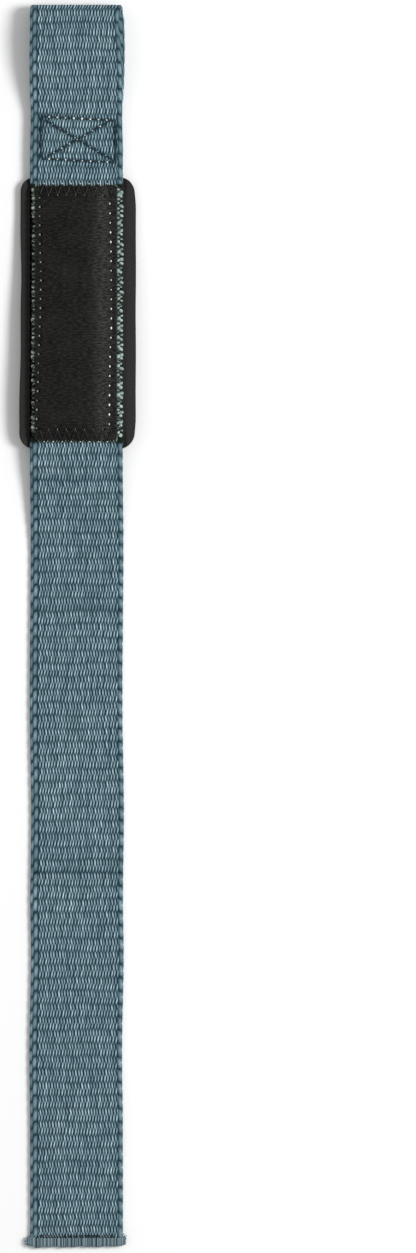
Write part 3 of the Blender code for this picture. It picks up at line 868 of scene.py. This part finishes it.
def slab(places, left, right, low, high, rounding, count):
    """A flat piece between two surfaces, with rounded upper edges. Also gives each point's distance from
    the outline, seen from above."""
    places, left, right = places[:, None], left[:, None], right[:, None]
    from_end = np.minimum(places - places.min(), places.max() - places)
    drop = rounding - np.sqrt(np.maximum(rounding ** 2 - np.maximum(rounding - from_end, 0.0) ** 2, 0.0))
    turn = np.linspace(0.0, math.pi / 2, EDGE_STEPS + 1)[1:]
    share = np.linspace(0.0, 1.0, count)
    narrow = np.minimum(rounding, (right - left) / 3)
    top_side = left + narrow + (right - left - 2 * narrow) * share
    right_side = right - narrow + narrow * np.sin(turn)
    left_side = (left + narrow - narrow * np.sin(turn))[:, ::-1]
    under_side = right + (left - right) * np.linspace(0.0, 1.0, count // 3)
    top = high(places, top_side) - drop
    round_off = rounding * (1.0 - np.cos(turn))
    right_top = top[:, -1:] - round_off
    left_top = (top[:, :1] - round_off)[:, ::-1]
    side = np.concatenate([top_side, right_side, under_side, left_side], axis=1)
    height = np.concatenate([top, right_top, low(places, under_side), left_top], axis=1)
    rings = np.stack([side, along_y(places) + 0.0 * side, height], axis=-1)
    inside = np.minimum(np.minimum(side - left, right - side), from_end + 0.0 * side)
    return rings, inside


def pad_thickness(place, side):
    """Thickness of the pad: crowned under the webbing and higher beside it."""
    base = pad_base(place)
    off_middle = np.abs(side - WEB_SIDE_SHIFT)
    half = WEB_WIDTH / 2
    crown = PAD_CROWN * pad_fill(place) * np.maximum(1.0 - (off_middle / half) ** 2, 0.0)
    beside = smooth_step((off_middle - half - CLEARANCE) / (2 * PAD_EDGE_ROUNDING))
    return base + crown + (PAD_BORDER_THICKNESS - base) * beside


def make_pad(material):
    """The foam pad under the webbing."""
    places, inset = stations(PAD_START, PAD_END, PAD_CORNER_RADIUS, FINE_STEP)
    along = (places - PAD_START) / PAD_LENGTH
    wave = PAD_WAVE * np.sin(2 * math.pi * along * 3.3 + 0.6) * np.sin(math.pi * along)
    left = -PAD_WIDTH / 2 + inset + PAD_WIDTH * eased(PAD_LEFT, along) + wave
    right = PAD_WIDTH / 2 - inset - PAD_WIDTH * eased(PAD_RIGHT, along) + 0.5 * wave
    rings, inside = slab(places, left, right, lambda place, side: pad_lift(place) + 0.0 * side,
                         lambda place, side: pad_lift(place) + pad_thickness(place, side),
                         PAD_EDGE_ROUNDING, PAD_COLUMNS)
    pad = new_piece("pad_body", *closed_rings(rings), material)
    flatten_ends(pad)
    # The rim: darker cut foam on the walls, and painted shade on the rounded top edge.
    keep_values(pad, "rim", smooth_step(1.0 - inside.ravel() / PAD_RIM))
    keep_values(pad, "strip", rings.reshape(-1, 3))
    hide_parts("wrist_pad")
    return pad


def patch_top(place, across, holes=()):
    """Height of the patch's upper side, drawn in at its stitch holes."""
    across, place = np.broadcast_arrays(across, place)
    height = top_of_web(place, across) + CLEARANCE + PATCH_THICKNESS
    height = height + PATCH_WRINKLE * strayed(2.2 * across, 1.6 * place, 2.0)
    for hole_across, hole_place in holes:
        near = np.hypot(across - hole_across, place - hole_place)
        height = height - HOLE_DEPTH * np.exp(-(near / HOLE_HALF_WIDTH) ** 2)
    return height


def on_patch(across, place):
    """True where the patch covers the webbing."""
    return (np.abs(across - WEB_SIDE_SHIFT) < PATCH_WIDTH / 2) & (place > PATCH_START) & (place < PATCH_END)


def make_patch(material, holes):
    """The leather patch on the webbing."""
    places, inset = stations(PATCH_START, PATCH_END, PATCH_CORNER_RADIUS, FINE_STEP)
    left = WEB_SIDE_SHIFT - PATCH_WIDTH / 2 + inset
    right = WEB_SIDE_SHIFT + PATCH_WIDTH / 2 - inset
    rings, inside = slab(places, left, right,
                         lambda place, side: top_of_web(place, side) + CLEARANCE,
                         lambda place, side: patch_top(place, side, holes),
                         PATCH_ROUNDING, PATCH_COLUMNS)
    patch = new_piece("patch_body", *closed_rings(rings), material)
    flatten_ends(patch)
    flat = rings.reshape(-1, 3)
    keep_values(patch, "strip", flat)
    # Painted sheen: a pale band to the right of the middle, where the crown faces the light; the same value
    # also makes the patch paler along its outline.
    sheen_and_pale_rim = np.exp(-((flat[:, 0] - PAINTED_SHEEN_SIDE) / 0.0035) ** 2) * 0.6
    keep_values(patch, "sheen_and_pale_rim", np.maximum(sheen_and_pale_rim, smooth_step(1.0 - inside.ravel() / 0.0004) * 0.5))
    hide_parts("cover_patch")
    return patch


# Stitches

def zigzag(inner, outer, start, end, pitch):
    """Holes of a zigzag along the strap, from a table of inner sides to one outer side and back, as pairs
    of side and place."""
    count = round((end - start) / pitch) * 2
    places = np.linspace(start, end, count + 1)
    return [(float(eased(inner, place)) if index % 2 == 0 else outer, float(place))
            for index, place in enumerate(places)]


def cross_zigzag(inner, outer, left, right, pitch):
    """Holes of a zigzag across the strap."""
    level = ((left, inner), (right, inner))
    return [(side, place) for place, side in zigzag(level, outer, left, right, pitch)]


def taut(heights):
    """Heights of a thread that is pulled tight over a surface."""
    count = len(heights)
    spots = np.arange(count)
    tight = heights.copy()
    for first in range(count - 2):
        for last in range(first + 2, count):
            between = spots[first + 1:last]
            line = heights[first] + (heights[last] - heights[first]) * (between - first) / (last - first)
            tight[first + 1:last] = np.maximum(tight[first + 1:last], line)
    return tight


def tight_stitch(start, end, radius, dive):
    """A stitch over the patch's edge. It goes down into the hole at both ends."""
    share = np.linspace(0.0, 1.0, STITCH_POINTS)
    across = start[0] + (end[0] - start[0]) * share
    place = start[1] + (end[1] - start[1]) * share
    height = np.where(on_patch(across, place), patch_top(place, across), top_of_web(place, across))
    height = taut(height) + radius - dive * np.abs(2.0 * share - 1.0) ** 6
    return thread(np.stack([across, along_y(place), height], axis=-1), radius)


def knot(centre, size):
    """A small round loop of thread that shows at a hole."""
    turn = np.linspace(0.0, math.pi, 7)
    radii = np.maximum(np.sin(turn), 0.05)
    spin = 2 * math.pi * np.arange(8) / 8
    rings = np.stack([radii[:, None] * np.cos(spin), radii[:, None] * np.sin(spin),
                      -np.cos(turn)[:, None] + 0.0 * spin], axis=-1)
    return closed_rings(np.array(centre) + rings * np.array(size))


def make_row(name, parts, material):
    """All stitches or bulges of one row as one piece."""
    piece = new_piece(name, *joined(parts), material)
    return piece


def box_stitches():
    """The lap's box with a cross in it: sunken dashes, and the pale knots between them."""
    dashes, knots = [], []
    for (start, end), knot_size in zip(BOX_LINES, BOX_KNOTS):
        length = math.hypot(end[0] - start[0], end[1] - start[1])
        count = max(round(length / BOX_PITCH), 1)
        for index in range(count):
            first, last = (index + 0.12) / count, (index + 0.88) / count
            begin = [start[axis] + (end[axis] - start[axis]) * first for axis in (0, 1)]
            stop = [start[axis] + (end[axis] - start[axis]) * last for axis in (0, 1)]
            dashes.append(stitch(begin, stop, top_of_pressed, BOX_THREAD, 0.5 * BOX_THREAD, BOX_DIVE))
            if knot_size > 0.0 and index > 0:
                across, place = (start[axis] + (end[axis] - start[axis]) * index / count for axis in (0, 1))
                size = knot_size * (0.75 + 0.5 * scatter(index, length))
                knots.append(knot(on_web(across, place, -0.25 * knot_size), (size, size, 0.8 * size)))
    return dashes, knots


def top_of_pressed(place, across):
    """The webbing's upper side where stitches press it down."""
    return top_of_web(place, across) - PRESS_DEPTH


def puff(centre, size, turn):
    """A small bulge of the webbing's yarns between two stitches, turned about its middle."""
    points, faces = knot((0.0, 0.0, 0.0), size)
    cosine, sine = math.cos(turn), math.sin(turn)
    across = points[:, 0] * cosine - points[:, 1] * sine
    along = points[:, 0] * sine + points[:, 1] * cosine
    return np.stack([across, along, points[:, 2]], axis=-1) + np.array(centre), faces


def edge_puffs(columns, half_sizes, pitch, start, end, turn):
    """The bulges beside one side of the patch, in columns that are staggered by half a pitch."""
    parts = []
    for number, column in enumerate(columns):
        count = round((end - start) / pitch)
        for index in range(count):
            chance, other = scatter(index, column * 1000.0), scatter(index, column * 1000.0, 5.0)
            place = start + (index + 0.5 * (number % 2) + 0.3 * (chance - 0.5)) * pitch
            across = column + PUFF_STRAY * (other - 0.5)
            size = [part * (0.70 + 0.6 * chance) for part in half_sizes]
            centre = on_web(across, place, PUFF_RISE)
            parts.append(puff(centre, (size[0], size[1] * (1.2 - 0.4 * other), size[2]),
                              turn * (1 - 2 * (number % 2)) + 0.5 * (other - 0.5)))
    return parts


def make_puffs(right_material, left_material):
    """The pale rows of the webbing that show between the stitches on both sides of the patch."""
    start, end = (place_of(pixel) for pixel in PUFF_ROWS)
    right_columns, left_columns = ([across_of(pixel) for pixel in pixels] for pixels in PUFF_COLUMNS)
    right = edge_puffs(right_columns, PUFF_RIGHT, PUFF_PITCH_RIGHT, start, end, PUFF_TURNS[0])
    left = edge_puffs(left_columns, PUFF_LEFT, PUFF_PITCH_LEFT, start, end, PUFF_TURNS[1])
    for name, parts, material in (("edge_puffs_right", right, right_material),
                                  ("edge_puffs_left", left, left_material)):
        make_row(name, parts, material)


def make_stitches(materials, zigzags):
    """Every row of stitches on the lap and round the patch."""
    dashes, knots = box_stitches()
    make_row("box_stitches", dashes, materials["painted_shade"])
    make_row("box_knots", knots, materials["pale"])
    stitches, dots, grey_dots, edge_knots = [], [], [], []
    for name, holes in zigzags.items():
        for first, last in zip(holes, holes[1:]):
            stitches.append(tight_stitch(first, last, ZIGZAG_THREAD, ZIGZAG_DIVE))
        inner = [hole for hole in holes if on_patch(*hole)]
        for index, (across, place) in enumerate(inner[1:-1]):
            size = DOT_SIZES[name] * (0.7 + 0.6 * scatter(index, across * 1000.0))
            top = float(patch_top(place, across))
            (dots if name == "right" else grey_dots).append(
                knot((across, along_y(place), top + 0.2 * size), (0.85 * size, 1.3 * size, size)))
            # A black blob beside each dot stands for its hole: painted shade.
            beside = (across + DOT_HOLE_SHIFT, along_y(place), top)
            edge_knots.append(knot(beside, (size, 1.2 * size, 0.4 * size)))
        outer = [hole for hole in holes if not on_patch(*hole)]
        for across, place in outer:
            if name == "left":
                edge_knots.append(knot(on_web(across - 0.0004, place, -0.0003), EDGE_LOOP))
            elif name != "right":
                dots.append(knot(on_web(across, place, 0.3 * END_KNOT), (END_KNOT, END_KNOT, END_KNOT)))
    make_row("patch_zigzag", stitches, materials["black"])
    make_row("edge_knots", edge_knots, materials["hole"])
    make_row("patch_dots_right", dots, materials["pale"])
    make_row("patch_dots", grey_dots, materials["grey"])


# The bound end

def binding_rings():
    """Sections of the thread wrap from side to side, each ridged as its threads run over the end."""
    half = WEB_WIDTH / 2 + BINDING_OVERHANG
    count = round(2 * half / RIDGE_PITCH) * RIDGE_SAMPLES
    across = np.linspace(-half, half, count + 1)
    number = np.floor(np.arange(count + 1) / RIDGE_SAMPLES)
    phase = np.mod(np.arange(count + 1), RIDGE_SAMPLES) / RIDGE_SAMPLES
    chance = scatter(number, 3.0)
    ridge = np.sin(math.pi * phase) * (1.0 - 0.5 * chance)
    crease = np.zeros_like(across)
    # Creases sink the wrap and, through its relief ramp, are painted darker as painted shade.
    for side, strength in BINDING_CREASES:
        crease = np.maximum(crease, strength * np.exp(-((across - side) / 0.0003) ** 2))
    bundle = BUNDLE_DEPTH * (1.0 - np.abs(np.sin(math.pi * (across / BUNDLE_PITCH
                                                            + 0.35 * np.sin(across * 1300.0)))) ** 0.5)
    relief = ridge * (1.0 - crease) - bundle
    reach = BINDING_HEIGHT / 2
    turn = np.linspace(math.pi / 2, -math.pi / 2, 13)
    middle = BINDING_START + reach
    straight = np.linspace(BINDING_START, STRAP_LENGTH - reach, 6)[:-1]
    round_place = STRAP_LENGTH - reach + reach * np.cos(turn)
    outer_place = np.concatenate([straight, round_place, straight[::-1]])
    outer_height = np.concatenate([0 * straight + BINDING_HEIGHT, reach + reach * np.sin(turn), 0 * straight])
    normal_place = np.concatenate([0 * straight, np.cos(turn), 0 * straight])
    normal_height = np.concatenate([0 * straight + 1.0, np.sin(turn), 0 * straight - 1.0])
    wall = BINDING_WALL
    slot = STRAP_LENGTH - wall - 0.3 * reach
    inner_place = np.array([BINDING_START, slot, slot, BINDING_START])
    inner_height = np.array([wall, wall, BINDING_HEIGHT - wall, BINDING_HEIGHT - wall])
    ragged = (RAGGED_END * np.sin(across * 900.0) * np.sin(across * 370.0 + 1.0)
              + 0.6 * RAGGED_END * (chance - 0.5) + BINDING_SLANT * (across + half))
    corner = smooth_step((np.abs(across) - half + BINDING_CORNER) / BINDING_CORNER)
    stretch = (outer_place - middle).clip(0.0) / (STRAP_LENGTH - middle)
    depth = RIDGE_RELIEF * (1.0 - relief)[:, None]
    relief = np.clip(relief + 0.4, 0.0, 1.0)
    place = outer_place - normal_place * depth - stretch * (ragged + BINDING_DRAW * corner)[:, None]
    squeeze = 1.0 - 0.35 * corner[:, None]
    height = (outer_height - normal_height * depth - reach) * squeeze + reach
    inner = np.broadcast_to(inner_place, (count + 1, 4)) - 0.5 * BINDING_DRAW * corner[:, None]
    inner_up = np.broadcast_to((inner_height - reach), (count + 1, 4)) * squeeze + reach
    places = np.concatenate([place, inner], axis=1)
    heights = np.concatenate([height, inner_up], axis=1)
    side = (WEB_SIDE_SHIFT + across)[:, None] + 0.0 * places
    rings = np.stack([side, along_y(places), heights], axis=-1)
    return rings, relief[:, None] + 0.0 * places, scatter(number, 9.0)[:, None] + 0.0 * places


def make_binding(material):
    """Thread wrapped over and under the tail's end."""
    rings, relief, tone = binding_rings()
    binding = new_piece("binding_wrap", *closed_rings(rings), material)
    flatten_ends(binding)
    keep_values(binding, "relief", relief.ravel())
    keep_values(binding, "tone", tone.ravel())
    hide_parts("end_binding")
    return binding


def tufts():
    """Frayed ends of thread at both corners of the bound end."""
    strands = []
    for index in range(TUFT_STRANDS):
        side = -1.0 if index % 2 else 1.0
        chances = [scatter(index, number) for number in range(6)]
        first_place, side_reach, forward = TUFT_LEFT if side < 0 else TUFT_RIGHT
        start = np.array([WEB_SIDE_SHIFT + side * (WEB_WIDTH / 2 - TUFT_INSET + TUFT_SPREAD[0] * chances[0]),
                          BINDING_START + first_place + TUFT_SPREAD[1] * chances[1],
                          TUFT_LOWEST + TUFT_SPREAD[2] * chances[2]])
        reach = np.array([side * (TUFT_SHORTEST + side_reach * chances[3]),
                          TUFT_SLANT * (chances[4] - forward), TUFT_SINK * (chances[5] - 0.6)])
        curl = TUFT_CURL * (chances[2] - 0.5)
        share = np.linspace(0.0, 1.0, 8)[:, None]
        line = start + reach * share + np.array([0.0, curl, 0.4 * curl]) * np.sin(math.pi * share)
        line[:, 2] = np.maximum(line[:, 2], 2 * STRAND)
        strands.append(thread(np.stack([line[:, 0], along_y(line[:, 1]), line[:, 2]], axis=-1), STRAND, 5))
    return strands


def needle_row():
    """The row of small loops that holds the thread wrap to the webbing, and the paler thread under it."""
    dark, pale = [], []
    count = round((NEEDLE_RIGHT - NEEDLE_LEFT) / NEEDLE_PITCH)
    spots = np.linspace(NEEDLE_LEFT, NEEDLE_RIGHT, count + 1)
    for index, (first, last) in enumerate(zip(spots, spots[1:])):
        stray = 0.0003 * (scatter(index, 4.0) - 0.5)
        near, far = NEEDLE_PLACE - NEEDLE_REACH, NEEDLE_PLACE + NEEDLE_REACH
        middle = (first + last) / 2
        dark.append(stitch((first, far), (middle, near + stray), top_of_end, NEEDLE_THREAD, 0.0002, 0.0001))
        dark.append(stitch((middle, near + stray), (last, far), top_of_end, NEEDLE_THREAD, 0.0002, 0.0001))
        if scatter(index, 8.0) > 0.35:
            pale.append(stitch((first, near), (middle, far + stray), top_of_end, 0.7 * NEEDLE_THREAD, 0.0003,
                               0.0002))
    return dark, pale


def top_of_end(place, across):
    """Top of the webbing and of the wrap that starts on it."""
    wrap = BINDING_HEIGHT * smooth_step((place - BINDING_START + 0.0004) / 0.0004)
    return np.maximum(top_of_web(place, across), wrap) + NEEDLE_THREAD


# The set

def make_floor():
    """A plain pale floor."""
    reach = FLOOR_REACH
    mesh = bpy.data.meshes.new("floor")
    mesh.from_pydata([(-reach, -reach, 0.0), (reach, -reach, 0.0), (reach, reach, 0.0), (-reach, reach, 0.0)],
                     [], [(0, 1, 2, 3)])
    material = new_material("floor_white", roughness=0.9, specular=0.1)
    material.node_tree.nodes["Principled BSDF"].inputs["Base Color"].default_value = (*FLOOR_WHITE, 1.0)
    mesh.materials.append(material)
    floor = bpy.data.objects.new("floor", mesh)
    bpy.context.scene.collection.objects.link(floor)


def make_light():
    """One large soft light from the right, and an even white fill from all round."""
    data = bpy.data.lights.new("key_light", "AREA")
    data.shape = "DISK"
    data.size = LIGHT_SIZE
    data.energy = LIGHT_POWER
    light = bpy.data.objects.new("key_light", data)
    towards = Vector((math.cos(LIGHT_RISE) * math.cos(LIGHT_TURN),
                      math.cos(LIGHT_RISE) * math.sin(LIGHT_TURN), math.sin(LIGHT_RISE)))
    light.location = towards * LIGHT_DISTANCE
    light.rotation_euler = towards.to_track_quat("Z", "Y").to_euler()
    bpy.context.scene.collection.objects.link(light)
    world = bpy.data.worlds.new("white_room")
    world.use_nodes = True
    background = world.node_tree.nodes["Background"]
    background.inputs["Color"].default_value = (1.0, 1.0, 1.0, 1.0)
    background.inputs["Strength"].default_value = FILL_STRENGTH
    bpy.context.scene.world = world


def make_camera():
    """A camera straight above the middle of the photograph's frame."""
    data = bpy.data.cameras.new("photo_camera")
    data.sensor_fit = "VERTICAL"
    data.sensor_height = SENSOR_HEIGHT
    data.lens = SENSOR_HEIGHT * CAMERA_HEIGHT / (PHOTO_SIZE[1] * PHOTO_PIXEL)
    camera = bpy.data.objects.new("photo_camera", data)
    camera.location = (across_of(PHOTO_SIZE[0] / 2), along_y(place_of(PHOTO_SIZE[1] / 2)),
                       CAMERA_HEIGHT + CAMERA_FOCUS)
    bpy.context.scene.collection.objects.link(camera)
    bpy.context.scene.camera = camera
    bpy.context.scene.view_settings.view_transform = "Standard"


def main():
    """Build every piece, the set, the light and the camera."""
    webbing = make_webbing(webbing_material())
    make_pad(foam_material())
    zigzags = {"right": zigzag(INNER_RIGHT, across_of(123.6), place_of(185.5), place_of(434.5),
                               ZIGZAG_PITCH_RIGHT),
               "left": zigzag(INNER_LEFT, across_of(32.0), place_of(189.5), place_of(438.2),
                              ZIGZAG_PITCH_LEFT)}
    for name, inner, outer in END_ZIGZAGS:
        zigzags[name] = cross_zigzag(place_of(inner), place_of(outer), across_of(END_ZIGZAG_SIDES[0]),
                                     across_of(END_ZIGZAG_SIDES[1]), ZIGZAG_PITCH)
    holes = [hole for row in zigzags.values() for hole in row if on_patch(*hole)]
    make_patch(leather_material(), holes)
    materials = {"black": thread_material("black_thread", BLACK_THREAD, 0.4, 0.35),
                 # Box and needle thread, painted near black as painted shade.
                 "painted_shade": thread_material("stitch_painted_shade", STITCH_PAINTED_SHADE, 0.8),
                 "grey": thread_material("grey_thread", GREY_THREAD),
                 "frayed": thread_material("frayed_thread", FRAYED_THREAD, 0.9, 0.2),
                 "pale": thread_material("pale_thread", PALE_THREAD),
                 "hole": thread_material("sunken_hole", HOLE_BLACK, 1.0, 0.0)}
    make_stitches(materials, zigzags)
    # The left bulges use a darker copy of the bulged yarn, painted as shade.
    make_puffs(puff_material("bulged_yarn", PUFF_DARK_RIGHT, PUFF_PALE_RIGHT),
               puff_material("bulged_yarn_left_shaded", PUFF_DARK_LEFT_PAINTED_SHADE, PUFF_PALE_LEFT))
    binding = make_binding(satin_material())
    dark, pale = needle_row()
    make_row("needle_row", dark, materials["painted_shade"])
    make_row("needle_loops", pale, materials["frayed"])
    frayed = make_row("frayed_strands", tufts(), materials["frayed"])
    make_floor()
    make_light()
    make_camera()


main()
